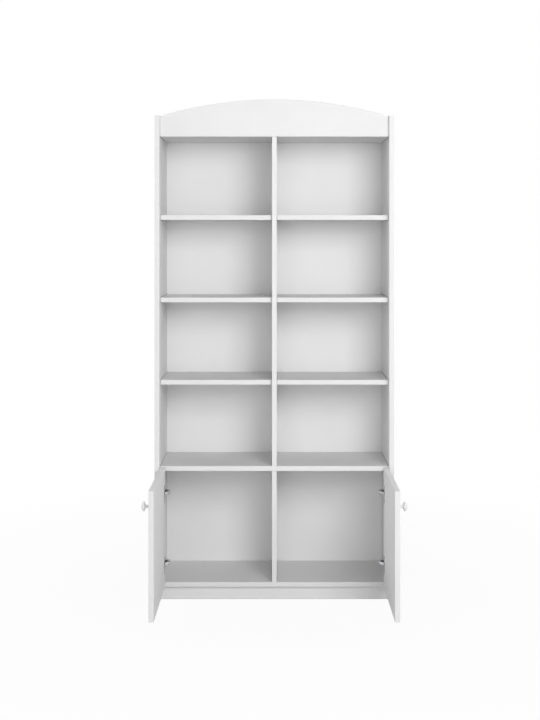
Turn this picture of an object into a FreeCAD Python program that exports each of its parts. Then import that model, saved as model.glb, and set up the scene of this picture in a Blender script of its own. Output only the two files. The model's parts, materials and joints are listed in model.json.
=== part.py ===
import FreeCAD, Part
import math
import os
import re

import Sketcher

# A free-standing bookcase of laminated boards: eight open bays over a two-door cabinet.
#
# Frame: millimetres, +Z up, the front of the bookcase faces -Y and +X is to the right. The origin is
# on the floor, in the middle of the footprint of the carcass. The doors stand open at right angles.
#
# Every size lives in the Sizes sheet. The expressions below are written with the bare names of its
# cells, and formula() puts the name of the sheet in front of them.

SIZES = (
    # Carcass
    ("overall_width", 900, "across the outer faces of the side panels"),
    ("overall_height", 1888, "floor to the top of the crown's arch"),
    ("side_depth", 325, "front to back of a side panel"),
    ("board_thickness", 18, "every board of the carcass"),
    ("back_thickness", 3, "hardboard back panels"),
    ("plinth_height", 50, "floor to the underside of the bottom board"),
    ("cabinet_clear", 419, "inside height of the cabinet"),
    ("first_bay_clear", 305, "inside height of the lowest open bay"),
    ("second_bay_clear", 294, "inside height of the second bay"),
    ("third_bay_clear", 294, "inside height of the third bay"),
    ("crown_height", 140, "middle of the arched crown panel"),
    ("crown_rise", 62, "rise of the crown's arch over its ends"),
    ("front_setback", 20, "fixed boards behind the front edges of the side panels"),
    ("shelf_setback", 40, "shelves behind the front edges of the side panels"),
    ("plinth_setback", 35, "plinth behind the front edges of the side panels"),
    ("shelf_end_gap", 0.5, "play at each end of a shelf"),
    ("back_inset", 2, "back panels inside the outline of the carcass"),
    ("back_joint_gap", 1, "between the two back panels, behind the divider"),
    ("edge_bevel", 0.8, "bevel of the banded edges"),
    # Doors
    ("door_thickness", 18, "door slab"),
    ("door_side_gap", 2, "closed door to the side panel"),
    ("door_middle_gap", 3, "between the two closed doors"),
    ("door_top_reveal", 2, "door below the top face of the cabinet's top board"),
    ("door_bottom_reveal", 5.5, "door above the underside of the bottom board"),
    ("turning_inset", 4, "turning axis from the hinge edge of the door"),
    ("turning_depth", 3, "turning axis from the outer face of the door"),
    ("upper_hinge_drop", 95, "upper hinge below the top of the door"),
    ("lower_hinge_rise", 88, "lower hinge above the bottom of the door"),
    # Knobs
    ("knob_diameter", 34, "widest part of the cap"),
    ("knob_projection", 28.5, "door face to the top of the cap"),
    ("knob_rim_height", 19, "door face to the rim of the cap"),
    ("knob_rim_thickness", 3, "upright rim of the cap"),
    ("knob_neck_diameter", 10, "neck"),
    ("knob_top_diameter", 20, "flat top, inside the bevel of the cap"),
    ("knob_edge_distance", 40, "knob from the free edge of the door"),
    ("knob_drop", 61, "knob below the top of the door"),
    # Shelf pins
    ("running_gap", 0.1, "radial room of a pin or a cup in its hole"),
    ("pin_diameter", 5, "shelf pin"),
    ("pin_anchor", 8, "shelf pin in a side panel"),
    ("pin_reach", 8, "shelf pin inside the end slot of a shelf"),
    ("pin_rise", 6, "axis of a shelf pin above the underside of its shelf"),
    ("pin_edge_distance", 45, "shelf pins from the front and back edges of a shelf"),
    # Concealed hinges for inset doors
    ("cup_diameter", 35, "hinge cup in the door"),
    ("cup_depth", 11, "hinge cup in the door"),
    ("cup_wall", 0.8, "pressed sheet of the cup"),
    ("cup_edge_distance", 22, "centre of the cup from the hinge edge of the door"),
    ("flange_length", 64, "cup flange along the door's edge"),
    ("flange_width", 15, "cup flange across its ears"),
    ("flange_thickness", 1, "cup flange on the door's face"),
    ("ear_offset", 6, "line of the ears, past the centre of the cup"),
    ("plate_setback", 57, "middle of the plate's wings behind the front"),
    ("plate_length", 46, "mounting plate, along the side panel's edge"),
    ("plate_width", 15, "mounting plate, across its wings"),
    ("plate_thickness", 1.5, "wings of the mounting plate"),
    ("saddle_front", 38, "front end of the saddle behind the front of the side panels"),
    ("saddle_back", 86, "back end of the saddle behind the front of the side panels"),
    ("saddle_width", 12.5, "raised saddle of the mounting plate"),
    ("saddle_height", 11, "top of the saddle above the side panel"),
    ("arm_width", 16, "hinge arm, top to bottom"),
    ("arm_sheet", 1.5, "pressed sheet of the hinge arm"),
    ("arm_foot_gap", 3, "cheeks of the arm above the side panel"),
    ("arm_tail", 92, "tail of the arm behind the front of the side panels"),
    ("arm_front", 27, "front of the cheeks behind the front of the side panels"),
    ("arm_crank_back", 50, "end of the crank, at the saddle"),
    ("arm_crank_front", 31, "end of the crank, at the nose"),
    ("nose_root", 24, "inner side of the nose, from the side panel"),
    ("nose_root_depth", 25, "inner side of the nose, behind the front"),
    ("nose_width", 6, "nose at the link pin"),
    ("nose_tip_width", 3, "flat tip of the nose"),
    ("nose_reach", 2.6, "tip of the nose past the link pin"),
    ("link_pin_inset", 34.7, "link pin from the side panel"),
    ("link_pin_depth", 13.7, "link pin behind the front of the side panels"),
    ("link_pin_diameter", 2.4, "link pin"),
    ("link_pin_gap", 0.05, "radial room of the link on its pin"),
    ("link_length", 19.8, "link pin to the tip of the link"),
    ("link_eye_diameter", 5.2, "eye of the link"),
    ("link_tip_diameter", 2.6, "tip of the link"),
    ("link_width", 9, "link, top to bottom"),
    ("link_open_angle", 231.9, "direction of the link, door open at a right angle"),
)

DOC = FreeCAD.newDocument("Bookcase")
SHEET = DOC.addObject("Spreadsheet::Sheet", "Sizes")
for row, (alias, amount, note) in enumerate(SIZES, start=1):
    SHEET.set(f"A{row}", str(amount))
    SHEET.set(f"B{row}", note)
    SHEET.setAlias(f"A{row}", alias)
DOC.recompute()

SIDES = (("left", -1), ("right", 1))
ALIASES = {alias for alias, amount, note in SIZES}
NODES = []
EXTENTS = {}

# Places that several pieces share, worked out from the sheet.
INNER_HALF = "(overall_width / 2 - board_thickness)"
FRONT = "(-(side_depth + back_thickness) / 2)"
BACK = f"({FRONT} + side_depth)"
FIXED_DEPTH = "(side_depth - front_setback)"
SHELF_DEPTH = "(side_depth - shelf_setback)"
BOTTOM_TOP = "(plinth_height + board_thickness)"
CABINET_UNDERSIDE = f"({BOTTOM_TOP} + cabinet_clear)"
CABINET_TOP = f"({CABINET_UNDERSIDE} + board_thickness)"
SHELF_UNDERSIDES = [f"({CABINET_TOP} + first_bay_clear)"]
for clear in ("second_bay_clear", "third_bay_clear"):
    SHELF_UNDERSIDES.append(f"({SHELF_UNDERSIDES[-1]} + board_thickness + {clear})")
TOP_UNDERSIDE = "(overall_height - crown_height)"
CROWN_END = "(crown_height - crown_rise)"
SIDE_HEIGHT = "(overall_height - crown_rise)"
BAY_WIDTH = f"({INNER_HALF} - board_thickness / 2)"
SHELF_LENGTH = f"({BAY_WIDTH} - 2 * shelf_end_gap)"
CROWN_RADIUS = f"(({INNER_HALF} ^ 2 + crown_rise ^ 2) / (2 * crown_rise))"
DOOR_WIDTH = f"({INNER_HALF} - door_side_gap - door_middle_gap / 2)"
DOOR_BOTTOM = "(plinth_height + door_bottom_reveal)"
DOOR_TOP = f"({CABINET_TOP} - door_top_reveal)"
DOOR_HEIGHT = f"({DOOR_TOP} - {DOOR_BOTTOM})"
HINGE_HEIGHTS = {
    "upper": f"({DOOR_TOP} - upper_hinge_drop)",
    "lower": f"({DOOR_BOTTOM} + lower_hinge_rise)",
}
KNOB_HEIGHT = f"({DOOR_TOP} - knob_drop)"
# The doors turn about upright axes close to their hinge edges, at x = +-TURNING_X.
TURNING_X = f"({INNER_HALF} - door_side_gap - turning_inset)"
TURNING_Y = f"({FRONT} + turning_depth)"
OPEN_OUTER_FACE = f"({TURNING_X} + turning_depth)"
OPEN_INNER_FACE = f"({OPEN_OUTER_FACE} - door_thickness)"
OPEN_HINGE_EDGE = f"({TURNING_Y} + turning_inset)"
SHELF_PIN_ROWS = (
    f"({FRONT} + shelf_setback + pin_edge_distance)",
    f"({BACK} - pin_edge_distance)",
)
PIN_HOLE_DIAMETER = "(pin_diameter + 2 * running_gap)"
PIN_END = "(pin_reach - running_gap)"

Y_AXIS = FreeCAD.Vector(0, 1, 0)
Z_AXIS = FreeCAD.Vector(0, 0, 1)
STRAIGHT = FreeCAD.Rotation()
HALF_TURN_UP = FreeCAD.Rotation(Z_AXIS, 180)
HALF_TURN_OVER = FreeCAD.Rotation(Y_AXIS, 180)
DOOR_OPEN = FreeCAD.Rotation(Z_AXIS, -90)

# How a sketch numbers the points of a line, an arc or a circle, and its own origin.
START, END, CENTRE = 1, 2, 3
ORIGIN = (-1, START)


def formula(text):
    """The expression for FreeCAD: each name of a size gets the name of the sheet."""
    return re.sub(r"[a-z_]+", lambda word: "Sizes." + word[0] if word[0] in ALIASES else word[0], text)


def bind(thing, name, text):
    thing.setExpression(name, formula(text))


def number(text):
    return float(SHEET.evalExpression(formula(text)))


def place(thing, x, y, z, turn):
    """Puts an object of the document at a place, in the frame of the bookcase, with a fixed turn."""
    thing.Placement = FreeCAD.Placement(FreeCAD.Vector(), turn)
    for axis, text in zip("xyz", (x, y, z)):
        bind(thing, f"Placement.Base.{axis}", text)


def node(thing, label):
    """Marks an object as a piece of the bookcase, which is written under its label."""
    thing.Label = label
    NODES.append(thing)
    return thing


def body(label, x="0", y="0", z="0", turn=STRAIGHT):
    owner = DOC.addObject("PartDesign::Body", label)
    place(owner, x, y, z, turn)
    return node(owner, label)


def sketch(owner, role, offset="0"):
    """An empty sketch on one of the body's own origin planes, moved along that plane's normal."""
    plane = next(f for f in owner.Origin.OriginFeatures if f.Role == role)
    drawing = owner.newObject("Sketcher::SketchObject", owner.Name + "_sketch")
    drawing.AttachmentSupport = [(plane, "")]
    drawing.MapMode = "FlatFace"
    bind(drawing, "AttachmentOffset.Base.z", offset)
    return drawing


def fix_level(drawing, geometry, vertex, axis, level):
    """Holds one coordinate of a point of a sketch at a level worked out from the sheet."""
    kind = "Distance" + axis.upper()
    at = drawing.addConstraint(Sketcher.Constraint(kind, *ORIGIN, geometry, vertex, number(level)))
    bind(drawing, f"Constraints[{at}]", level)


def fix_point(drawing, geometry, vertex, x, y):
    fix_level(drawing, geometry, vertex, "x", x)
    fix_level(drawing, geometry, vertex, "y", y)


def arc_between(start, end, axis, level, turn):
    """An arc from start to end whose centre has that level on an axis. A turn of 1 is anticlockwise."""
    across = FreeCAD.Vector(start.y - end.y, end.x - start.x, 0)
    middle = (start + end) / 2
    centre = middle + across * ((level - getattr(middle, axis)) / getattr(across, axis))
    first, last = (start, end) if turn > 0 else (end, start)
    angles = [math.atan2(point.y - centre.y, point.x - centre.x) for point in (first, last)]
    return Part.ArcOfCircle(Part.Circle(centre, Z_AXIS, (start - centre).Length), *angles)


def outline(drawing, corners):
    """Draws a closed outline of corners (x, y).

    Where an arc starts, the corner goes on with the axis and the level that place the arc's centre,
    and with the turn of the arc.
    """
    points = [FreeCAD.Vector(number(c[0]), number(c[1]), 0) for c in corners]
    ends = []
    for at, corner in enumerate(corners):
        start, end = points[at], points[(at + 1) % len(points)]
        if len(corner) == 2:
            drawing.addGeometry(Part.LineSegment(start, end), False)
            ends.append((START, END))
        else:
            axis, level, turn = corner[2:]
            drawing.addGeometry(arc_between(start, end, axis, number(level), turn), False)
            ends.append((START, END) if turn > 0 else (END, START))
    first = drawing.GeometryCount - len(corners)
    for at, corner in enumerate(corners):
        after = (at + 1) % len(corners)
        drawing.addConstraint(
            Sketcher.Constraint("Coincident", first + at, ends[at][1], first + after, ends[after][0])
        )
        fix_point(drawing, first + at, ends[at][0], corner[0], corner[1])
        if len(corner) > 2:
            fix_level(drawing, first + at, CENTRE, corner[2], corner[3])


def rectangle(drawing, low_x, low_y, high_x, high_y):
    outline(drawing, [(low_x, low_y), (high_x, low_y), (high_x, high_y), (low_x, high_y)])


def circles(drawing, spots, diameter):
    for x, y in spots:
        centre = FreeCAD.Vector(number(x), number(y), 0)
        at = drawing.addGeometry(Part.Circle(centre, Z_AXIS, number(diameter) / 2), False)
        fix_point(drawing, at, CENTRE, x, y)
        size = drawing.addConstraint(Sketcher.Constraint("Diameter", at, number(diameter)))
        bind(drawing, f"Constraints[{size}]", diameter)


def extrude(owner, kind, drawing, length, backwards=False, both_ways=False):
    """Adds a Pad or a Pocket of a sketch to its body."""
    feature = owner.newObject(f"PartDesign::{kind}", f"{owner.Name}_{kind.lower()}")
    feature.Profile = drawing
    feature.Reversed = backwards
    if both_ways:
        feature.SideType = "Symmetric"
    bind(feature, "Length", length)


def bevel(owner, wanted):
    """Takes the sharpness off the edges of the body, so far, that the test picks."""
    DOC.recompute()
    base = owner.Tip
    names = [f"Edge{n}" for n, edge in enumerate(base.Shape.Edges, start=1) if wanted(edge)]
    chamfer = owner.newObject("PartDesign::Chamfer", owner.Name + "_bevel")
    chamfer.Base = (base, names)
    bind(chamfer, "Size", "edge_bevel")


def in_plane(edge, axis, level):
    """Whether an edge lies in the plane where the named coordinate has that level."""
    spots = [edge.valueAt(t) for t in (edge.FirstParameter, edge.LastParameter)]
    return all(abs(getattr(spot, axis) - level) < 1e-6 for spot in spots)


def runs_along(edge, axis):
    """Whether an edge is straight and parallel to an axis of its body."""
    spots = [edge.valueAt(t) for t in (edge.FirstParameter, edge.LastParameter)]
    return abs(getattr((spots[1] - spots[0]).normalize(), axis)) > 1 - 1e-9


def board(label, x, y, z, width, depth, height, banded=None):
    """A cut board. banded names the axis along which its banded and bevelled front edges run."""
    owner = body(label, x, y, z)
    EXTENTS[owner.Name] = {"x": width, "y": depth, "z": height}
    drawing = sketch(owner, "XY_Plane")
    rectangle(drawing, "0", "0", width, depth)
    extrude(owner, "Pad", drawing, height)
    if banded:
        bevel(owner, lambda edge: in_plane(edge, "y", 0) and runs_along(edge, banded))
    return owner


# A face of a board: the plane of its sketches, their offset along its normal, and the way a pocket
# has to run to go into the board.
FACES = {
    "left": ("YZ_Plane", "0", True),
    "right": ("YZ_Plane", "{x}", False),
    "front": ("XZ_Plane", "0", False),
    "rear": ("XZ_Plane", "-{y}", True),
    "underside": ("XY_Plane", "0", True),
}


def face_sketch(owner, face):
    role, offset, backwards = FACES[face]
    return sketch(owner, role, offset.format(**EXTENTS[owner.Name])), backwards


def drill(owner, face, spots, diameter, depth):
    """Blind or through holes from one face of a board, at spots in that face's own two axes."""
    drawing, backwards = face_sketch(owner, face)
    circles(drawing, spots, diameter)
    extrude(owner, "Pocket", drawing, depth, backwards)


def relative(place_in_frame, start):
    """A place of the bookcase's frame, measured from the corner that a board starts at."""
    return f"({place_in_frame} - {start})"


def copies(label, master, places):
    """One node of identical pieces: the master solid, repeated at each place and turn."""
    repeated = []
    for x, y, z, turn in places:
        one = DOC.addObject("Part::Compound", label + "_copy")
        one.Links = [master]
        place(one, x, y, z, turn)
        repeated.append(one)
    group = DOC.addObject("Part::Compound", label)
    group.Links = repeated
    node(group, label)


def pin(name, length):
    """A plain round pin along +Z from the origin of its own frame."""
    solid = DOC.addObject("Part::Cylinder", name)
    bind(solid, "Radius", "pin_diameter / 2")
    bind(solid, "Height", length)
    return solid


# ---------------------------------------------------------------- carcass boards
def make_side_panel(side, sign):
    """A side panel, drilled on its inner face for the shelf pins."""
    start_x = "(-overall_width / 2)" if sign < 0 else INNER_HALF
    inner = "right" if sign < 0 else "left"
    panel = board(
        f"{side}_side_panel", start_x, FRONT, "0", "board_thickness", "side_depth", SIDE_HEIGHT, "z"
    )
    pin_rows = [relative(y, FRONT) for y in SHELF_PIN_ROWS]
    pin_heights = [f"({z} + pin_rise)" for z in SHELF_UNDERSIDES]
    drill(panel, inner, [(y, z) for z in pin_heights for y in pin_rows], PIN_HOLE_DIAMETER, "pin_anchor")


def make_fixed_boards():
    """The boards across the whole width: the cabinet's bottom and top, and the one behind the crown."""
    fixed_y = f"({FRONT} + front_setback)"
    for label, y, z, depth in (
        ("bottom_board", fixed_y, "plinth_height", FIXED_DEPTH),
        ("cabinet_top_board", fixed_y, CABINET_UNDERSIDE, FIXED_DEPTH),
        ("top_board", f"({fixed_y} + board_thickness)", TOP_UNDERSIDE, f"({FIXED_DEPTH} - board_thickness)"),
    ):
        width = f"(2 * {INNER_HALF})"
        board(label, f"(-{INNER_HALF})", y, z, width, depth, "board_thickness", "x")


def make_dividers():
    """The upright boards in the middle: a long one over the cabinet, a short one inside it."""
    fixed_y = f"({FRONT} + front_setback)"
    for label, low, high in (
        ("upper_divider", CABINET_TOP, TOP_UNDERSIDE),
        ("lower_divider", BOTTOM_TOP, CABINET_UNDERSIDE),
    ):
        divider = board(
            label,
            "-board_thickness / 2",
            fixed_y,
            low,
            "board_thickness",
            FIXED_DEPTH,
            f"({high} - {low})",
            "z",
        )
        if label == "upper_divider":
            pins = [
                (relative(y, fixed_y), f"({z} + pin_rise - {low})")
                for z in SHELF_UNDERSIDES
                for y in SHELF_PIN_ROWS
            ]
            drill(divider, "left", pins, PIN_HOLE_DIAMETER, "board_thickness")


def make_shelves():
    """Six shelves, each hung on four pins that stay hidden in slots in its ends."""
    shelf_y = f"({FRONT} + shelf_setback)"
    for side, start in (
        ("left", f"(-{INNER_HALF} + shelf_end_gap)"),
        ("right", "(board_thickness / 2 + shelf_end_gap)"),
    ):
        for level, underside in enumerate(SHELF_UNDERSIDES, start=1):
            shelf = board(
                f"{side}_shelf_{level}",
                start,
                shelf_y,
                underside,
                SHELF_LENGTH,
                SHELF_DEPTH,
                "board_thickness",
                "x",
            )
            drawing, backwards = face_sketch(shelf, "underside")
            for row in SHELF_PIN_ROWS:
                middle = relative(row, shelf_y)
                near = f"({middle} - {PIN_HOLE_DIAMETER} / 2)"
                far = f"({middle} + {PIN_HOLE_DIAMETER} / 2)"
                rectangle(drawing, "0", near, "pin_reach", far)
                rectangle(drawing, f"{SHELF_LENGTH} - pin_reach", near, SHELF_LENGTH, far)
            extrude(shelf, "Pocket", drawing, "pin_rise + pin_diameter / 2", backwards)


def make_crown():
    """The arched panel between the side panels, in front of the top board."""
    crown = body(
        "crown_panel", f"(-{INNER_HALF})", f"({FRONT} + front_setback + board_thickness)", TOP_UNDERSIDE
    )
    width = f"(2 * {INNER_HALF})"
    drawing = sketch(crown, "XZ_Plane")
    outline(
        drawing,
        [
            ("0", "0"),
            (width, "0"),
            (width, CROWN_END, "y", f"crown_height - {CROWN_RADIUS}", 1),
            ("0", CROWN_END),
        ],
    )
    extrude(crown, "Pad", drawing, "board_thickness")
    front = -number("board_thickness")
    bevel(crown, lambda edge: in_plane(edge, "y", front) and not runs_along(edge, "z"))


def make_plinth():
    """The plinth board at the front, and the brace behind it under the middle of the bottom board."""
    plinth_y = f"({FRONT} + plinth_setback)"
    board(
        "plinth_board",
        f"(-{INNER_HALF})",
        plinth_y,
        "0",
        f"(2 * {INNER_HALF})",
        "board_thickness",
        "plinth_height",
    )
    board(
        "plinth_brace",
        "-board_thickness / 2",
        f"({plinth_y} + board_thickness)",
        "0",
        "board_thickness",
        "(side_depth - plinth_setback - board_thickness)",
        "plinth_height",
    )


def make_back_panels():
    """Two hardboard sheets nailed on behind, which meet behind the dividers."""
    width = "(overall_width / 2 - back_inset - back_joint_gap / 2)"
    height = f"({TOP_UNDERSIDE} + board_thickness - plinth_height - 2 * back_inset)"
    for side, start in (
        ("left", "(-overall_width / 2 + back_inset)"),
        ("right", "(back_joint_gap / 2)"),
    ):
        board(
            f"{side}_back_panel",
            start,
            BACK,
            "(plinth_height + back_inset)",
            width,
            "back_thickness",
            height,
        )


# ---------------------------------------------------------------- shelf pins
def make_shelf_pins():
    """Steel pins: short ones in the side panels, long ones right through the divider."""
    short = pin("short_pin", f"pin_anchor + shelf_end_gap + {PIN_END}")
    long = pin("long_pin", f"board_thickness + 2 * (shelf_end_gap + {PIN_END})")
    sides, middle = [], []
    for underside in SHELF_UNDERSIDES:
        z = f"({underside} + pin_rise)"
        for y in SHELF_PIN_ROWS:
            for sign in (-1, 1):
                start = f"({sign} * ({INNER_HALF} + pin_anchor))"
                sides.append((start, y, z, FreeCAD.Rotation(Y_AXIS, -90 * sign)))
            start = f"(-(board_thickness / 2 + shelf_end_gap + {PIN_END}))"
            middle.append((start, y, z, FreeCAD.Rotation(Y_AXIS, 90)))
    copies("shelf_pins", short, sides)
    copies("divider_shelf_pins", long, middle)


# ---------------------------------------------------------------- doors and knobs
def make_door(side, sign):
    """A plain slab, bored on its inner face for two hinge cups.

    In its own frame a door runs from its hinge edge along +X and lies between y = 0 and its thickness.
    """
    face_x = f"(-{OPEN_OUTER_FACE})" if sign < 0 else OPEN_INNER_FACE
    door = body(f"{side}_door_panel", face_x, OPEN_HINGE_EDGE, DOOR_BOTTOM, DOOR_OPEN)
    EXTENTS[door.Name] = {"x": DOOR_WIDTH, "y": "door_thickness", "z": DOOR_HEIGHT}
    drawing = sketch(door, "XY_Plane")
    rectangle(drawing, "0", "0", DOOR_WIDTH, "door_thickness")
    extrude(door, "Pad", drawing, DOOR_HEIGHT)
    thickness = number("door_thickness")
    bevel(door, lambda edge: in_plane(edge, "y", 0) or in_plane(edge, "y", thickness))
    inner = "rear" if sign < 0 else "front"
    cups = [("cup_edge_distance", relative(z, DOOR_BOTTOM)) for z in HINGE_HEIGHTS.values()]
    drill(door, inner, cups, "cup_diameter", "cup_depth")


def make_knob(side, sign):
    """A turned mushroom knob. Its own +X points out of the door."""
    outer_x = f"({sign} * {OPEN_OUTER_FACE})"
    y = f"({OPEN_HINGE_EDGE} - ({DOOR_WIDTH} - knob_edge_distance))"
    outwards = STRAIGHT if sign > 0 else HALF_TURN_UP
    knob = body(f"{side}_knob", outer_x, y, KNOB_HEIGHT, outwards)
    drawing = sketch(knob, "XY_Plane")
    rim_start = "(knob_rim_height - knob_rim_thickness / 2)"
    rim_end = "(knob_rim_height + knob_rim_thickness / 2)"
    outline(
        drawing,
        [
            ("0", "0"),
            ("0", "knob_neck_diameter / 2"),
            (rim_start, "knob_neck_diameter / 2"),
            (rim_start, "knob_diameter / 2"),
            (rim_end, "knob_diameter / 2"),
            ("knob_projection", "knob_top_diameter / 2"),
            ("knob_projection", "0"),
        ],
    )
    turned = knob.newObject("PartDesign::Revolution", knob.Name + "_turning")
    turned.Profile = drawing
    turned.ReferenceAxis = (drawing, ["H_Axis"])


# ---------------------------------------------------------------- hinges
def make_mounting_plate(name, sign, height):
    """A winged plate on the side panel, with the raised saddle that the hinge arm sits on.

    The frames of the plate and of the arm start on the inner face of the side panel, at the front and
    at the height of the hinge. Their +X points into the cabinet.
    """
    turn = STRAIGHT if sign < 0 else HALF_TURN_OVER
    plate = body(f"{name}_hinge_plate", f"({sign} * {INNER_HALF})", FRONT, height, turn)
    wings = sketch(plate, "YZ_Plane")
    rectangle(
        wings,
        "plate_setback - plate_width / 2",
        "-plate_length / 2",
        "plate_setback + plate_width / 2",
        "plate_length / 2",
    )
    extrude(plate, "Pad", wings, "plate_thickness")
    saddle = sketch(plate, "YZ_Plane")
    rectangle(saddle, "saddle_front", "-saddle_width / 2", "saddle_back", "saddle_width / 2")
    extrude(plate, "Pad", saddle, "saddle_height")


def make_hinge_arm(name, sign, height):
    """A cranked channel of pressed sheet: it sits on the saddle, and its nose holds the link pin."""
    turn = STRAIGHT if sign < 0 else HALF_TURN_OVER
    arm = body(f"{name}_hinge_arm", f"({sign} * {INNER_HALF})", FRONT, height, turn)
    crown_x = "(saddle_height + arm_sheet)"
    nose_x = "(link_pin_inset + nose_width / 2)"
    cheeks = sketch(arm, "XY_Plane")
    outline(
        cheeks,
        [
            ("arm_foot_gap", "arm_tail"),
            ("arm_foot_gap", "arm_front"),
            ("nose_root", "nose_root_depth"),
            ("link_pin_inset - nose_width / 2", "link_pin_depth"),
            ("link_pin_inset - nose_tip_width / 2", "link_pin_depth - nose_reach"),
            ("link_pin_inset + nose_tip_width / 2", "link_pin_depth - nose_reach"),
            (nose_x, "link_pin_depth"),
            (nose_x, "arm_crank_front"),
            (crown_x, "arm_crank_back"),
            (crown_x, "arm_tail"),
        ],
    )
    extrude(arm, "Pad", cheeks, "arm_width", both_ways=True)
    # The hollow leaves a web of one sheet along the back of the channel, open at the nose.
    hollow = sketch(arm, "XY_Plane")
    outline(
        hollow,
        [
            ("0", "arm_tail + arm_sheet"),
            ("0", "0"),
            (f"{nose_x} + arm_sheet", "0"),
            (f"{nose_x} + arm_sheet", "link_pin_depth + link_eye_diameter"),
            (f"{nose_x} - arm_sheet", "link_pin_depth + link_eye_diameter"),
            (f"{nose_x} - arm_sheet", "arm_crank_front - arm_sheet / 2"),
            ("saddle_height", "arm_crank_back - arm_sheet / 2"),
            ("saddle_height", "arm_tail + arm_sheet"),
        ],
    )
    extrude(arm, "Pocket", hollow, "arm_width - 2 * arm_sheet", both_ways=True)
    pin = sketch(arm, "XY_Plane")
    circles(pin, [("link_pin_inset", "link_pin_depth")], "link_pin_diameter")
    extrude(arm, "Pad", pin, "arm_width", both_ways=True)


def make_hinge_link(name, sign, height):
    """The link between the arm's nose and the cup, drawn along +X from the link pin."""
    direction = number("link_open_angle")
    turn = FreeCAD.Rotation(Z_AXIS, direction if sign < 0 else 180 - direction)
    link = body(
        f"{name}_hinge_link",
        f"({sign} * ({INNER_HALF} - link_pin_inset))",
        f"({FRONT} + link_pin_depth)",
        height,
        turn,
    )
    blade = sketch(link, "XY_Plane")
    eye, tip = "(link_eye_diameter / 2)", "(link_tip_diameter / 2)"
    outline(
        blade,
        [
            ("0", f"-{eye}"),
            ("link_length", f"-{tip}", "x", "link_length", 1),
            ("link_length", tip),
            ("0", eye, "x", "0", 1),
        ],
    )
    extrude(link, "Pad", blade, "link_width", both_ways=True)
    bore = sketch(link, "XY_Plane")
    circles(bore, [("0", "0")], "link_pin_diameter + 2 * link_pin_gap")
    extrude(link, "Pocket", bore, "link_width", both_ways=True)


def make_hinge_cups():
    """The pressed cups in the doors, two in each.

    A cup's frame starts at its centre on the door's face: +X runs towards the free edge of the door,
    and +Z out of the door.
    """
    cup = DOC.addObject("PartDesign::Body", "hinge_cup")
    ears = sketch(cup, "XY_Plane")
    rectangle(
        ears,
        "ear_offset - flange_width / 2",
        "-flange_length / 2",
        "ear_offset + flange_width / 2",
        "flange_length / 2",
    )
    extrude(cup, "Pad", ears, "flange_thickness")
    rim = sketch(cup, "XY_Plane")
    circles(rim, [("0", "0")], "cup_diameter + 2 * flange_thickness")
    extrude(cup, "Pad", rim, "flange_thickness")
    bowl = sketch(cup, "XY_Plane")
    circles(bowl, [("0", "0")], "cup_diameter - 2 * running_gap")
    extrude(cup, "Pad", bowl, "cup_depth - running_gap", True)
    mouth = sketch(cup, "XY_Plane", "flange_thickness")
    circles(mouth, [("0", "0")], "cup_diameter - 2 * running_gap - 2 * cup_wall")
    extrude(cup, "Pocket", mouth, "cup_depth - running_gap - cup_wall + flange_thickness")
    for side, sign in SIDES:
        along_door = FreeCAD.Vector(0, -1, 0)
        out_of_door = FreeCAD.Vector(-sign, 0, 0)
        turn = FreeCAD.Rotation(along_door, out_of_door.cross(along_door), out_of_door, "ZXY")
        x = f"({sign} * {OPEN_INNER_FACE})"
        y = f"({OPEN_HINGE_EDGE} - cup_edge_distance)"
        copies(f"{side}_hinge_cups", cup, [(x, y, height, turn) for height in HINGE_HEIGHTS.values()])


# ---------------------------------------------------------------- the whole bookcase
make_fixed_boards()
make_dividers()
make_shelves()
make_crown()
make_plinth()
make_back_panels()
make_shelf_pins()
make_hinge_cups()
for side_name, side_sign in SIDES:
    make_side_panel(side_name, side_sign)
    make_door(side_name, side_sign)
    make_knob(side_name, side_sign)
    for position, hinge_height in HINGE_HEIGHTS.items():
        hinge_name = f"{side_name}_{position}"
        make_mounting_plate(hinge_name, side_sign, hinge_height)
        make_hinge_arm(hinge_name, side_sign, hinge_height)
        make_hinge_link(hinge_name, side_sign, hinge_height)
DOC.recompute()

# Nothing is written unless every feature worked and every piece is sound.
for thing in DOC.Objects:
    if "Invalid" in thing.State or "Error" in thing.State:
        raise RuntimeError(f"{thing.Label} failed: {thing.State}")
    if thing.TypeId == "PartDesign::Pocket" and thing.Shape.Volume > thing.BaseFeature.Shape.Volume - 1e-3:
        raise RuntimeError(f"{thing.Label} cuts nothing")
for piece in NODES:
    if piece.Shape.isNull() or not piece.Shape.isValid():
        raise RuntimeError(f"{piece.Label} is not a sound solid")

os.makedirs("parts", exist_ok=True)
for piece in NODES:
    piece.Shape.exportStep(os.path.join("parts", piece.Label + ".step"))
    box = piece.Shape.BoundBox
    print(f"{piece.Label}: {box.XLength:.1f} x {box.YLength:.1f} x {box.ZLength:.1f} mm")
print(len(NODES), "nodes")
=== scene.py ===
"""The looks of a white bookcase with cabinet doors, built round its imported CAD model.

Metres, +Z up, the front faces -Y. Sizes that belong to the product are read from the boxes of the
CAD nodes, and the rest are named below.
"""

import json
import math

import bmesh
import bpy
from mathutils import Matrix, Vector


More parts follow.
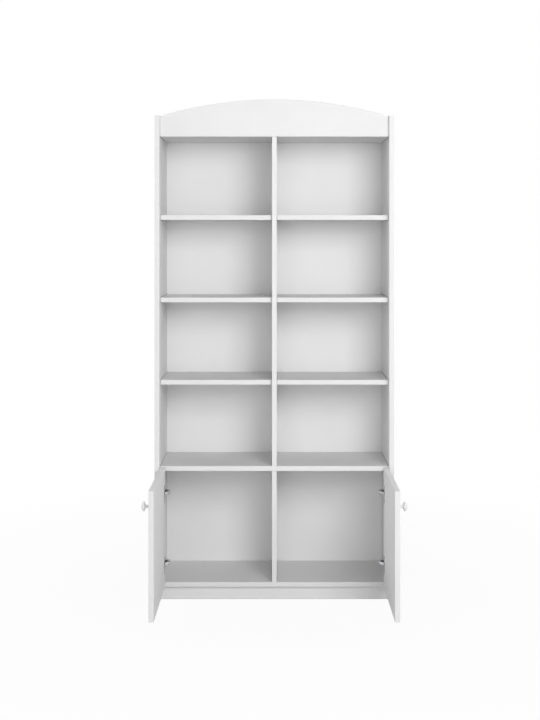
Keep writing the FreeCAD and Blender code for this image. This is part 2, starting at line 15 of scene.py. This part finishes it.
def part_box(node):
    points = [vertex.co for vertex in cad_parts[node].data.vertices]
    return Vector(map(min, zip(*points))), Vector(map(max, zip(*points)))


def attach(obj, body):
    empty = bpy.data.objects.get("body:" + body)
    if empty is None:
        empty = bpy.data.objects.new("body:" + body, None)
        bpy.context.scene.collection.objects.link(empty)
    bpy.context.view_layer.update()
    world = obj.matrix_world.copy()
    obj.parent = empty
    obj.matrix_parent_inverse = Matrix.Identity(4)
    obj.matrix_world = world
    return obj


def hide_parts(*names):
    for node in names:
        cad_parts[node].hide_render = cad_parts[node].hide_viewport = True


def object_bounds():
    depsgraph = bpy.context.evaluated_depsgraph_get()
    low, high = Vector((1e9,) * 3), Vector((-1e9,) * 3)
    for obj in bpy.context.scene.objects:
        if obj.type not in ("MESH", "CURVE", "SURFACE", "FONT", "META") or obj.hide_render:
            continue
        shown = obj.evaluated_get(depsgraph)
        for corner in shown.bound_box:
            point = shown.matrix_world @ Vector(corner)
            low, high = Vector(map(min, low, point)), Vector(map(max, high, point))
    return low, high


MM = 0.001

# The sides of the bookcase, with their way out along X, and the screws of a pair, with their way
# from its middle along Z.
SIDES = (("left", -1), ("right", 1))
PAIR = (("low", -1), ("high", 1))

# The photograph's camera: level, in front, and a little under three quarters of the way up. Its
# distance is measured from the front edges of the sides.
CAMERA_DISTANCE = 4.533
CAMERA_HEIGHT = 1.358
CAMERA_LENS = 60.38
CAMERA_SHIFT = (-0.00604, -0.16667)

# Hinges. Depths are measured from the front edge of a side panel, and the offset of the cup's
# screws from the cup's centre.
CUP_SCREW_OFFSET = 6 * MM
CUP_SCREW_SPACING = 48 * MM
CUP_FLANGE_THICKNESS = 1 * MM
PLATE_SCREW_DEPTH = 57 * MM
PLATE_SCREW_SPACING = 32 * MM
PLATE_WING_THICKNESS = 1.5 * MM
ARM_SCREW_DEPTHS = (74 * MM, 56 * MM)
ARM_SHEET_THICKNESS = 1.5 * MM

# Heads of the fasteners: radius, and height above the face that they sit on.
FLAT_SCREW = (3.6 * MM, 0.5 * MM)
ARM_SCREW = (3.7 * MM, 2.0 * MM)
KNOB_SCREW = (4.0 * MM, 2.2 * MM)
CAM_LOCK = (7.5 * MM, 0.5 * MM)

# The fixed boards, with the face that shows their cam locks: 1 is the top, -1 the underside.
FIXED_BOARDS = {"bottom_board": -1, "cabinet_top_board": -1, "top_board": 1}

# How far the cam locks are from the ends, the front and the back of a board.
CAM_END_INSET = 24 * MM
CAM_FRONT_INSET = 42 * MM
CAM_BACK_INSET = 58 * MM

# Nails of the back panels: how far from the outer edge and from the middle of the bookcase, how
# they are spread along a board, and in how many steps they go up.
NAIL_EDGE_INSET = 7 * MM
NAIL_MIDDLE_INSET = 5 * MM
NAIL_SHARES_ALONG = (0.2, 0.4, 0.6, 0.8)
NAIL_STEPS_UP = 12
NAIL_HEAD = ((0, 0), (2.6 * MM, 0), (2.6 * MM, 0.2 * MM), (2.0 * MM, 0.4 * MM), (0, 0.5 * MM))
NAIL_HOLLOW_RADIUS = 3.1 * MM
NAIL_HOLLOW_DEPTH = 0.6 * MM
NAIL_HOLLOW_FLARE = 1.1

# The knob's foot and waisted neck, as shares of its radius and of its projection.
KNOB_NECK = (
    (0.38, 0.0),
    (0.37, 0.03),
    (0.31, 0.09),
    (0.29, 0.17),
    (0.29, 0.3),
    (0.305, 0.37),
    (0.34, 0.42),
    (0.42, 0.455),
)

# The knob's rim, as shares of its projection, and the angle at which the underside runs into it.
KNOB_RIM_RADIUS = 0.085
KNOB_RIM_HEIGHT = 0.675
KNOB_UNDERSIDE_ANGLE = -61

# Steps round a full turn of the lathe forms.
KNOB_STEPS = 96
SCREW_STEPS = 40
CAM_STEPS = 48
NAIL_STEPS = 24

# A profile's point nearer to the axis than ON_AXIS is on it, and points nearer to each other than
# WELD are one point after a cut.
ON_AXIS = 0.0001 * MM
WELD = 0.001 * MM

# Painted shade: how far from an inner corner a surface's colour is darkened, and how much of its
# colour is left in the corner. The first pair is for the boards, the second for the hinges' metal.
JOINT_SHADE_REACH = 4.5 * MM
JOINT_SHADE = 0.5
HINGE_SHADE_REACH = 9 * MM
HINGE_SHADE_DARKEST = 0.03

# The painted shade is full up to the first share of open space round a point, and gone from the
# second.
SHADE_FULL = 0.4
SHADE_GONE = 0.95

# Bare hardboard's colours at places on its noise, from dark fibres to light ones.
FIBRE_BROWNS = (
    (0.3, (0.17, 0.085, 0.038)),
    (0.55, (0.30, 0.17, 0.085)),
    (0.75, (0.42, 0.26, 0.14)),
)

# A Mix node has its sockets once for each kind of data. These are the ones for colours.
MIX_FIRST, MIX_SECOND, MIX_RESULT = 6, 7, 2

# Soft boxes: place, size and power. The shadows in the photograph's bays give the key's place.
LAMPS = {
    "key": ((1.08, -2.98, 2.06), 1.15, 42),
    "front_fill": ((0.0, -4.5, 0.9), 3.0, 56),
    "left_fill": ((-4.5, -0.5, 2.6), 1.0, 70),
    "right_fill": ((4.5, -0.5, 2.6), 1.0, 43),
}

# The surrounding light has WALL_LEVEL from the horizon down and CEILING_LEVEL from WALL_TOP up,
# where a direction's height is 0 on the horizon and 1 straight up.
WALL_LEVEL = 1.18
CEILING_LEVEL = 0.19
WALL_TOP = 0.7

# The floor's colour in the light, and how white it is seen near the bookcase. Between SHADOW_NEAR
# and SHADOW_FAR it fades into plain white. It lies just under the feet.
FLOOR_COLOUR = (0.5, 0.5, 0.5)
FLOOR_WHITENESS = 0.95
FLOOR_RADIUS = 20
FLOOR_DROP = 0.5 * MM
SHADOW_NEAR = 0.6
SHADOW_FAR = 2.2

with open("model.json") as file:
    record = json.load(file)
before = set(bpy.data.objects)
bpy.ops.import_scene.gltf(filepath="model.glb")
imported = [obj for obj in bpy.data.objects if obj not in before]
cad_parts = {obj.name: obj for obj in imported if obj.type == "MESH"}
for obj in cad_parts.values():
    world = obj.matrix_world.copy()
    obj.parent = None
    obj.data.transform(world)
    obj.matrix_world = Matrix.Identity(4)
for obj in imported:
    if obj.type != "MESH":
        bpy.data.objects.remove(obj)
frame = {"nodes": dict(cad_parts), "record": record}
cad_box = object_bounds()
nodes = frame["nodes"]


# ---------------------------------------------------------------- mesh helpers
def new_object(name, mesh, body, slot, matrix=Matrix.Identity(4)):
    """An object of the product at a place in the row frame, in a slot's material, on a body."""
    piece = bpy.data.objects.new(name, mesh)
    bpy.context.scene.collection.objects.link(piece)
    piece.matrix_world = matrix
    bpy.context.view_layer.update()
    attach(piece, body)
    if not mesh.materials:
        mesh.materials.append(SLOT_MATERIALS[slot])
    return piece


def finished_mesh(name, shape):
    """A mesh from a bmesh, which is freed."""
    mesh = bpy.data.meshes.new(name)
    shape.to_mesh(mesh)
    shape.free()
    return mesh


def turned_mesh(name, profile, steps):
    """A lathe form round +Z from a profile of (radius, height) points, with smooth faces."""
    angles = [2 * math.pi * k / steps for k in range(steps)]
    shape = bmesh.new()
    previous = None
    for radius, height in profile:
        if radius < ON_AXIS:
            places = [(0, 0, height)]
        else:
            places = [(radius * math.cos(a), radius * math.sin(a), height) for a in angles]
        ring = [shape.verts.new(place) for place in places]
        if previous:
            join_rings(shape, previous, ring)
        previous = ring
    bmesh.ops.recalc_face_normals(shape, faces=shape.faces)
    mesh = finished_mesh(name, shape)
    mesh.shade_smooth()
    return mesh


def join_rings(shape, low, high):
    """Faces between two rings of a lathe form. A ring of one point closes the form."""
    steps = max(len(low), len(high))
    for k in range(steps):
        after = (k + 1) % steps
        corners = [
            low[k % len(low)],
            low[after % len(low)],
            high[after % len(high)],
            high[k % len(high)],
        ]
        distinct = [corner for at, corner in enumerate(corners) if corner not in corners[:at]]
        if len(distinct) > 2:
            shape.faces.new(distinct)


def arc(centre, radius, start, end, steps):
    """Points of an arc in a profile, angles in degrees from the radial direction."""
    angles = [math.radians(start + (end - start) * k / steps) for k in range(steps + 1)]
    return [(centre[0] + radius * math.cos(a), centre[1] + radius * math.sin(a)) for a in angles]


def block_mesh(name, low, high):
    """A plain block between two corners."""
    shape = bmesh.new()
    bmesh.ops.create_cube(shape, size=1.0)
    place = Matrix.Translation((low + high) / 2) @ Matrix.Diagonal((*(high - low), 1.0))
    bmesh.ops.transform(shape, matrix=place, verts=shape.verts)
    return finished_mesh(name, shape)


def cut_away(mesh, cutter_shape):
    """The mesh less the forms in cutter_shape."""
    cutter = bpy.data.objects.new("cutter", finished_mesh("cutter", cutter_shape))
    whole = bpy.data.objects.new("whole", mesh)
    for thing in (cutter, whole):
        bpy.context.scene.collection.objects.link(thing)
    cut = whole.modifiers.new("cut", "BOOLEAN")
    cut.object = cutter
    cut.operation = "DIFFERENCE"
    cut.use_self = True
    evaluated = whole.evaluated_get(bpy.context.evaluated_depsgraph_get())
    result = bpy.data.meshes.new_from_object(evaluated)
    for thing in (cutter, whole):
        bpy.data.objects.remove(thing)
    shape = bmesh.new()
    shape.from_mesh(result)
    bmesh.ops.remove_doubles(shape, verts=shape.verts, dist=WELD)
    bmesh.ops.dissolve_degenerate(shape, edges=shape.edges, dist=WELD)
    shape.to_mesh(result)
    shape.free()
    return result


def cross_cut(mesh, reach, width, top, depth):
    """Cuts the crossed recess of a screwdriver into the top of a head."""
    end, side = reach / 2, width / 2
    arm = [Vector(corner) for corner in ((end, side, 0), (side, side, 0), (side, end, 0))]
    quarters = [Matrix.Rotation(math.radians(turn), 3, "Z") for turn in (0, 90, 180, 270)]
    floor = Vector((0, 0, top - depth))
    cutter_shape = bmesh.new()
    corners = [
        cutter_shape.verts.new(quarter @ corner + floor) for quarter in quarters for corner in arm
    ]
    cross = cutter_shape.faces.new(corners)
    raised = bmesh.ops.extrude_face_region(cutter_shape, geom=[cross])["geom"]
    upper = [part for part in raised if isinstance(part, bmesh.types.BMVert)]
    bmesh.ops.translate(cutter_shape, verts=upper, vec=(0, 0, 2 * depth))
    bmesh.ops.recalc_face_normals(cutter_shape, faces=cutter_shape.faces)
    return cut_away(mesh, cutter_shape)


def facing(direction, place):
    """A matrix that turns +Z to a direction and moves the origin to a place."""
    turn = Vector(direction).to_track_quat("Z", "Y").to_matrix().to_4x4()
    return Matrix.Translation(place) @ turn


def middle_of(low, high, axis):
    return (low[axis] + high[axis]) / 2


def inner_face(low, high, direction):
    """Where along X a piece's face towards the middle of the bookcase is."""
    return high[0] if direction < 0 else low[0]


# ---------------------------------------------------------------- materials
def new_material(name, colour, roughness, metallic=0.0):
    """A material, with its node tree and its shader."""
    made = bpy.data.materials.new(name)
    made.use_nodes = True
    shader = made.node_tree.nodes["Principled BSDF"]
    shader.inputs["Base Color"].default_value = (*colour, 1)
    shader.inputs["Roughness"].default_value = roughness
    shader.inputs["Metallic"].default_value = metallic
    return made, made.node_tree, shader


def noise(tree, scale, detail=3.0, stretch=None):
    """A noise in object coordinates, which are the row frame on the CAD nodes."""
    coordinates = tree.nodes.new("ShaderNodeTexCoord")
    texture = tree.nodes.new("ShaderNodeTexNoise")
    texture.inputs["Scale"].default_value = scale
    texture.inputs["Detail"].default_value = detail
    source = coordinates.outputs["Object"]
    if stretch:
        mapping = tree.nodes.new("ShaderNodeMapping")
        mapping.inputs["Scale"].default_value = stretch
        tree.links.new(source, mapping.inputs["Vector"])
        source = mapping.outputs["Vector"]
    tree.links.new(source, texture.inputs["Vector"])
    return texture.outputs["Fac"]


def ramp(tree, source, stops):
    """The colours of a ramp with (position, colour) stops."""
    made = tree.nodes.new("ShaderNodeValToRGB")
    elements = made.color_ramp.elements
    while len(elements) < len(stops):
        elements.new(0.5)
    for element, (position, colour) in zip(elements, stops):
        element.position = position
        element.color = (*colour, 1)
    tree.links.new(source, made.inputs["Fac"])
    return made.outputs["Color"]


def colour_mix(tree, first, second, blend="MIX"):
    """A Mix node for two colours. Its factor is still to be set."""
    mix = tree.nodes.new("ShaderNodeMix")
    mix.data_type = "RGBA"
    mix.blend_type = blend
    tree.links.new(first, mix.inputs[MIX_FIRST])
    tree.links.new(second, mix.inputs[MIX_SECOND])
    return mix


def bump(tree, shader, source, strength, distance):
    made = tree.nodes.new("ShaderNodeBump")
    made.inputs["Strength"].default_value = strength
    made.inputs["Distance"].default_value = distance
    tree.links.new(source, made.inputs["Height"])
    tree.links.new(made.outputs["Normal"], shader.inputs["Normal"])


def grey(level):
    return (level, level, level)


def paint_corner_shade(tree, colour, reach, darkest):
    """A colour darkened near inner corners by an ambient occlusion node: painted shade."""
    contact = tree.nodes.new("ShaderNodeAmbientOcclusion")
    contact.samples = 8
    contact.inputs["Distance"].default_value = reach
    stops = ((SHADE_FULL, grey(darkest)), (SHADE_GONE, grey(1.0)))
    shade = ramp(tree, contact.outputs["AO"], stops)
    mix = colour_mix(tree, colour, shade, blend="MULTIPLY")
    mix.inputs["Factor"].default_value = 1
    return mix.outputs[MIX_RESULT]


def laminate_material(name, level):
    """White melamine: a fine pebbled face with a soft sheen and hardly any variation."""
    made, tree, shader = new_material(name, grey(level), roughness=0.56)
    shader.inputs["Specular IOR Level"].default_value = 0.1
    cloud = noise(tree, scale=9.0)
    tint = ramp(tree, cloud, ((0.3, grey(level - 0.012)), (0.7, grey(level + 0.006))))
    # Painted shade: the board's colour is darkened near inner corners where boards meet.
    shaded = paint_corner_shade(tree, tint, JOINT_SHADE_REACH, JOINT_SHADE)
    tree.links.new(shaded, shader.inputs["Base Color"])
    pebble = noise(tree, scale=900.0, detail=2.0)
    sheen = ramp(tree, pebble, ((0.35, grey(0.5)), (0.65, grey(0.62))))
    tree.links.new(sheen, shader.inputs["Roughness"])
    bump(tree, shader, pebble, strength=0.12, distance=0.2 * MM)
    return made


def faces_front(tree):
    """1 on faces that look to the front, and 0 on all others."""
    geometry = tree.nodes.new("ShaderNodeNewGeometry")
    split = tree.nodes.new("ShaderNodeSeparateXYZ")
    tree.links.new(geometry.outputs["True Normal"], split.inputs["Vector"])
    to_front = tree.nodes.new("ShaderNodeMath")
    to_front.operation = "LESS_THAN"
    to_front.inputs[1].default_value = -0.5
    tree.links.new(split.outputs["Y"], to_front.inputs[0])
    return to_front.outputs["Value"]


def hardboard_material(name, level):
    """Hardboard: painted white towards the bays, bare brown fibre on its rear and edges."""
    made, tree, shader = new_material(name, grey(level), roughness=0.5)
    shader.inputs["Specular IOR Level"].default_value = 0.25
    fibre = noise(tree, scale=420.0, detail=6.0, stretch=(1.0, 1.0, 0.55))
    brown = ramp(tree, fibre, FIBRE_BROWNS)
    cloud = noise(tree, scale=6.0)
    paint = ramp(tree, cloud, ((0.3, grey(level - 0.01)), (0.7, grey(level))))
    mix = colour_mix(tree, brown, paint)
    tree.links.new(faces_front(tree), mix.inputs["Factor"])
    tree.links.new(mix.outputs[MIX_RESULT], shader.inputs["Base Color"])
    bump(tree, shader, fibre, strength=0.15, distance=0.3 * MM)
    return made


def nickel_material(name, level, roughness):
    """Nickel plate over pressed steel: faintly drawn along the piece, with small dull patches."""
    bright = (level, level, level * 1.04)
    dim = (level * 0.92, level * 0.93, level * 0.97)
    made, tree, shader = new_material(name, bright, roughness, metallic=1.0)
    drawn = noise(tree, scale=700.0, stretch=(0.25, 0.25, 1.0))
    tint = ramp(tree, drawn, ((0.3, dim), (0.7, bright)))
    # Painted shade: the metal's colour is darkened in the hollows of the hinges.
    shaded = paint_corner_shade(tree, tint, HINGE_SHADE_REACH, HINGE_SHADE_DARKEST)
    tree.links.new(shaded, shader.inputs["Base Color"])
    patches = noise(tree, scale=160.0)
    dull = ramp(tree, patches, ((0.35, grey(roughness - 0.06)), (0.65, grey(roughness + 0.1))))
    tree.links.new(dull, shader.inputs["Roughness"])
    bump(tree, shader, drawn, strength=0.06, distance=0.1 * MM)
    return made


def lacquer_material(name, level):
    """Satin white lacquer, with a trace of unevenness in its coat."""
    made, tree, shader = new_material(name, grey(level), roughness=0.3)
    shader.inputs["Specular IOR Level"].default_value = 0.35
    flow = noise(tree, scale=70.0)
    tint = ramp(tree, flow, ((0.3, grey(level - 0.015)), (0.7, grey(level))))
    tree.links.new(tint, shader.inputs["Base Color"])
    bump(tree, shader, flow, strength=0.04, distance=0.4 * MM)
    return made


SLOT_MATERIALS = {
    "white_laminate": laminate_material("white_laminate", 0.74),
    "hardboard": hardboard_material("hardboard", 0.77),
    "nickel_steel": nickel_material("nickel", 0.78, roughness=0.4),
    "pin_steel": nickel_material("zinc", 0.66, roughness=0.42),
    "knob_lacquer": lacquer_material("white_lacquer", 0.75),
}
for subpart in frame["record"]["subparts"]:
    mesh = nodes[subpart["node"]].data
    mesh.materials.clear()
    mesh.materials.append(SLOT_MATERIALS[subpart["material_slot"]])


# ---------------------------------------------------------------- knobs
def knob_profile(radius, projection):
    """A turned mushroom knob: foot, waisted neck, coned underside, rounded rim and domed cap."""
    profile = [(0, 0)] + [(radius * across, projection * up) for across, up in KNOB_NECK]
    rim_radius = projection * KNOB_RIM_RADIUS
    rim_height = projection * KNOB_RIM_HEIGHT
    inside_rim = radius - rim_radius
    over_rim = projection - rim_height
    # The dome is the arc that ends level at the top of the cap and runs smoothly into the rim.
    dome_radius = (inside_rim**2 + over_rim**2 - rim_radius**2) / (2 * (over_rim - rim_radius))
    dome_centre = projection - dome_radius
    meeting = math.degrees(math.atan2(rim_height - dome_centre, inside_rim))
    profile += arc((inside_rim, rim_height), rim_radius, KNOB_UNDERSIDE_ANGLE, meeting, steps=10)
    profile += arc((0, dome_centre), dome_radius, meeting, 90, steps=16)[1:-1]
    profile.append((0, projection))
    return profile


def make_knobs():
    for side, direction in SIDES:
        low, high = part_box(f"{side}_knob")
        radius = (high[2] - low[2]) / 2
        projection = high[0] - low[0]
        mesh = turned_mesh(f"{side}_knob_form", knob_profile(radius, projection), KNOB_STEPS)
        foot = (inner_face(low, high, direction), middle_of(low, high, 1), middle_of(low, high, 2))
        place = facing((direction, 0, 0), foot)
        knob = new_object(f"{side}_knob_turned", mesh, f"{side}_door", "knob_lacquer", place)
        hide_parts(f"{side}_knob")


# ---------------------------------------------------------------- screws, cams and nails
def pan_head(name, radius, height):
    """A rounded head with a crossed recess."""
    profile = [(0, 0), (radius, 0)]
    profile += arc((radius * 0.55, height * 0.35), radius * 0.45, start=0, end=80, steps=7)
    flat = height * 0.35 + radius * 0.45
    profile.append((0, flat))
    mesh = turned_mesh(name, [(r, h * height / flat) for r, h in profile], SCREW_STEPS)
    return cross_cut(mesh, reach=radius, width=radius * 0.22, top=height, depth=height * 0.45)


def flat_head(name, radius, rise):
    """A countersunk head: only its slightly crowned top shows above the sheet."""
    profile = [(0, -rise), (radius, -rise), (radius, 0), (radius * 0.92, rise * 0.6), (0, rise)]
    mesh = turned_mesh(name, profile, SCREW_STEPS)
    return cross_cut(mesh, reach=radius * 1.1, width=radius * 0.24, top=rise, depth=rise * 0.9)


def cam_head(name, radius, rise):
    """The face of a cam lock, with a small bevel and a crossed recess."""
    profile = [(0, 0), (radius, 0), (radius, rise * 0.6), (radius * 0.94, rise), (0, rise)]
    mesh = turned_mesh(name, profile, CAM_STEPS)
    return cross_cut(mesh, reach=radius * 1.2, width=radius * 0.2, top=rise, depth=rise * 0.8)


def put_screw(name, head, body, direction, spot, slot="nickel_steel"):
    """A screw whose head looks towards the middle of the bookcase."""
    new_object(name, head, body, slot, facing((-direction, 0, 0), spot))


def make_hinge_screws():
    flat = flat_head("flat_head", *FLAT_SCREW)
    pan = pan_head("pan_head", *ARM_SCREW)
    for side, direction in SIDES:
        panel_low, panel_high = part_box(f"{side}_side_panel")
        panel_face = inner_face(panel_low, panel_high, direction)
        front = panel_low[1]
        for position in ("upper", "lower"):
            low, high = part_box(f"{side}_{position}_hinge_plate")
            middle_z = middle_of(low, high, 2)
            wing_face = panel_face - direction * PLATE_WING_THICKNESS
            for level, way in PAIR:
                z = middle_z + way * PLATE_SCREW_SPACING / 2
                spot = (wing_face, front + PLATE_SCREW_DEPTH, z)
                name = f"{side}_{position}_plate_screw_{level}"
                put_screw(name, flat, "carcass", direction, spot)
            # The arm's web is one sheet above the plate's saddle, which is higher than the wings.
            web_face = inner_face(low, high, direction) - direction * ARM_SHEET_THICKNESS
            for number, depth in enumerate(ARM_SCREW_DEPTHS, start=1):
                spot = (web_face, front + depth, middle_z)
                name = f"{side}_{position}_arm_screw_{number}"
                put_screw(name, pan, "carcass", direction, spot)
            make_cup_screws(side, position, direction, middle_z, flat)


def make_cup_screws(side, position, direction, middle_z, head):
    low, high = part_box(f"{side}_hinge_cups")
    door_low, door_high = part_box(f"{side}_door_panel")
    flange_face = inner_face(door_low, door_high, direction) - direction * CUP_FLANGE_THICKNESS
    y = middle_of(low, high, 1) - CUP_SCREW_OFFSET
    for level, way in PAIR:
        spot = (flange_face, y, middle_z + way * CUP_SCREW_SPACING / 2)
        name = f"{side}_{position}_cup_screw_{level}"
        put_screw(name, head, f"{side}_door", direction, spot)


def make_knob_screws():
    head = pan_head("knob_screw_head", *KNOB_SCREW)
    for side, direction in SIDES:
        low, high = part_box(f"{side}_knob")
        door_low, door_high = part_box(f"{side}_door_panel")
        door_face = inner_face(door_low, door_high, direction)
        spot = (door_face, middle_of(low, high, 1), middle_of(low, high, 2))
        put_screw(f"{side}_knob_screw", head, f"{side}_door", direction, spot, "knob_lacquer")


def make_cams():
    """The faces of the cam locks, on the sides of the boards that the front view doesn't show."""
    head = cam_head("cam_head", *CAM_LOCK)
    for board, side_up in FIXED_BOARDS.items():
        low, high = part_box(board)
        face = high[2] if side_up > 0 else low[2]
        columns = (("left", low[0] + CAM_END_INSET), ("right", high[0] - CAM_END_INSET))
        rows = (("front", low[1] + CAM_FRONT_INSET), ("back", high[1] - CAM_BACK_INSET))
        for column, x in columns:
            for row, y in rows:
                place = facing((0, 0, side_up), (x, y, face))
                new_object(f"{board}_{row}_{column}_cam", head, "carcass", "pin_steel", place)


def nail_spots(side, direction):
    """Where a back panel's nails go: along the fixed boards, up the outer edge and the middle."""
    heights = []
    for board in FIXED_BOARDS:
        low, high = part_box(board)
        heights.append(middle_of(low, high, 2))
    low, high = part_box(f"{side}_back_panel")
    outer_x = direction * (max(abs(low[0]), abs(high[0])) - NAIL_EDGE_INSET)
    inner_x = direction * NAIL_MIDDLE_INSET
    spots = [
        (inner_x + (outer_x - inner_x) * share, z) for z in heights for share in NAIL_SHARES_ALONG
    ]
    for k in range(NAIL_STEPS_UP + 1):
        z = heights[0] + (heights[-1] - heights[0]) * k / NAIL_STEPS_UP
        spots += [(outer_x, z), (inner_x, z)]
    return spots


def make_back_panels():
    """The back panels, with the nails driven a little below their rear face."""
    head = turned_mesh("nail_head", NAIL_HEAD, NAIL_STEPS)
    for side, direction in SIDES:
        low, high = (Vector(corner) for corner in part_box(f"{side}_back_panel"))
        hollows = bmesh.new()
        nails = bmesh.new()
        for x, z in nail_spots(side, direction):
            # The cutter is centred on the rear face, so half of it is in the panel.
            bmesh.ops.create_cone(
                hollows,
                cap_ends=True,
                segments=NAIL_STEPS,
                radius1=NAIL_HOLLOW_RADIUS,
                radius2=NAIL_HOLLOW_RADIUS * NAIL_HOLLOW_FLARE,
                depth=2 * NAIL_HOLLOW_DEPTH,
                matrix=facing((0, 1, 0), (x, high[1], z)),
            )
            start = len(nails.verts)
            nails.from_mesh(head)
            nails.verts.ensure_lookup_table()
            floor = facing((0, 1, 0), (x, high[1] - NAIL_HOLLOW_DEPTH, z))
            bmesh.ops.transform(nails, matrix=floor, verts=nails.verts[start:])
        board_mesh = cut_away(block_mesh(f"{side}_back_panel_form", low, high), hollows)
        panel = new_object(f"{side}_back_board", board_mesh, "carcass", "hardboard")
        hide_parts(f"{side}_back_panel")
        nail_mesh = finished_mesh(f"{side}_nail_heads", nails)
        nail_mesh.shade_smooth()
        new_object(f"{side}_back_nails", nail_mesh, "carcass", "pin_steel")


make_knobs()
make_hinge_screws()
make_knob_screws()
make_cams()
make_back_panels()


# ---------------------------------------------------------------- floor, light and camera
def seen_directly(tree):
    """1 for rays from the camera, or from a mirror or glass that it sees, and 0 for the light."""
    path = tree.nodes.new("ShaderNodeLightPath")
    source = path.outputs["Is Camera Ray"]
    for name in ("Is Glossy Ray", "Is Transmission Ray"):
        either = tree.nodes.new("ShaderNodeMath")
        either.operation = "MAXIMUM"
        tree.links.new(source, either.inputs[0])
        tree.links.new(path.outputs[name], either.inputs[1])
        source = either.outputs["Value"]
    return source


def floor_material():
    """A white that keeps a faint shadow round the bookcase and fades into the white behind."""
    made = bpy.data.materials.new("floor")
    made.use_nodes = True
    tree = made.node_tree
    matte = tree.nodes["Principled BSDF"]
    matte.inputs["Base Color"].default_value = (*FLOOR_COLOUR, 1)
    matte.inputs["Roughness"].default_value = 0.9
    white = tree.nodes.new("ShaderNodeEmission")
    white.inputs["Color"].default_value = (1, 1, 1, 1)
    white.inputs["Strength"].default_value = 1.0
    place = tree.nodes.new("ShaderNodeNewGeometry")
    distance = tree.nodes.new("ShaderNodeVectorMath")
    distance.operation = "LENGTH"
    tree.links.new(place.outputs["Position"], distance.inputs[0])
    whiteness = tree.nodes.new("ShaderNodeMapRange")
    whiteness.inputs["From Min"].default_value = SHADOW_NEAR
    whiteness.inputs["From Max"].default_value = SHADOW_FAR
    whiteness.inputs["To Min"].default_value = FLOOR_WHITENESS
    whiteness.inputs["To Max"].default_value = 1
    tree.links.new(distance.outputs["Value"], whiteness.inputs["Value"])
    share = tree.nodes.new("ShaderNodeMath")
    share.operation = "MULTIPLY"
    mix = tree.nodes.new("ShaderNodeMixShader")
    tree.links.new(seen_directly(tree), share.inputs[0])
    tree.links.new(whiteness.outputs["Result"], share.inputs[1])
    tree.links.new(share.outputs["Value"], mix.inputs["Fac"])
    tree.links.new(matte.outputs["BSDF"], mix.inputs[1])
    tree.links.new(white.outputs["Emission"], mix.inputs[2])
    tree.links.new(mix.outputs["Shader"], tree.nodes["Material Output"].inputs["Surface"])
    return made


def make_floor():
    shape = bmesh.new()
    bmesh.ops.create_circle(shape, cap_ends=True, segments=128, radius=FLOOR_RADIUS)
    mesh = finished_mesh("floor", shape)
    mesh.materials.append(floor_material())
    floor = bpy.data.objects.new("floor", mesh)
    bpy.context.scene.collection.objects.link(floor)
    floor.location.z = -FLOOR_DROP


def make_world():
    """A soft light all round, stronger from the walls than from above, seen as plain white."""
    world = bpy.data.worlds.new("studio")
    bpy.context.scene.world = world
    world.use_nodes = True
    tree = world.node_tree
    direction = tree.nodes.new("ShaderNodeTexCoord")
    split = tree.nodes.new("ShaderNodeSeparateXYZ")
    tree.links.new(direction.outputs["Generated"], split.inputs["Vector"])
    level = tree.nodes.new("ShaderNodeMapRange")
    level.inputs["From Max"].default_value = WALL_TOP
    level.inputs["To Min"].default_value = WALL_LEVEL
    level.inputs["To Max"].default_value = CEILING_LEVEL
    tree.links.new(split.outputs["Z"], level.inputs["Value"])
    ambient = tree.nodes["Background"]
    ambient.inputs["Color"].default_value = (1, 1, 1, 1)
    tree.links.new(level.outputs["Result"], ambient.inputs["Strength"])
    white = tree.nodes.new("ShaderNodeBackground")
    white.inputs["Color"].default_value = (1, 1, 1, 1)
    white.inputs["Strength"].default_value = 1.0
    mix = tree.nodes.new("ShaderNodeMixShader")
    tree.links.new(seen_directly(tree), mix.inputs["Fac"])
    tree.links.new(ambient.outputs["Background"], mix.inputs[1])
    tree.links.new(white.outputs["Background"], mix.inputs[2])
    tree.links.new(mix.outputs["Shader"], tree.nodes["World Output"].inputs["Surface"])


def make_lamp(name, place, size, power):
    """A square soft box aimed at the middle of the bookcase."""
    lamp = bpy.data.lights.new(name, "AREA")
    lamp.shape = "SQUARE"
    lamp.size = size
    lamp.energy = power
    holder = bpy.data.objects.new(name, lamp)
    bpy.context.scene.collection.objects.link(holder)
    low, high = cad_box
    aim = (low + high) / 2 - Vector(place)
    holder.location = place
    holder.rotation_mode = "QUATERNION"
    holder.rotation_quaternion = aim.to_track_quat("-Z", "Y")
    holder.visible_camera = False


def make_camera():
    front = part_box("left_side_panel")[0][1]
    camera = bpy.data.cameras.new("camera")
    camera.lens = CAMERA_LENS
    camera.sensor_width = 36
    camera.shift_x, camera.shift_y = CAMERA_SHIFT
    camera.clip_end = 100
    holder = bpy.data.objects.new("camera", camera)
    bpy.context.scene.collection.objects.link(holder)
    holder.location = (0, front - CAMERA_DISTANCE, CAMERA_HEIGHT)
    holder.rotation_euler = (math.radians(90), 0, 0)
    bpy.context.scene.camera = holder


make_floor()
make_world()
for lamp_name, setting in LAMPS.items():
    make_lamp(lamp_name, *setting)
make_camera()
bpy.context.scene.view_settings.view_transform = "Standard"
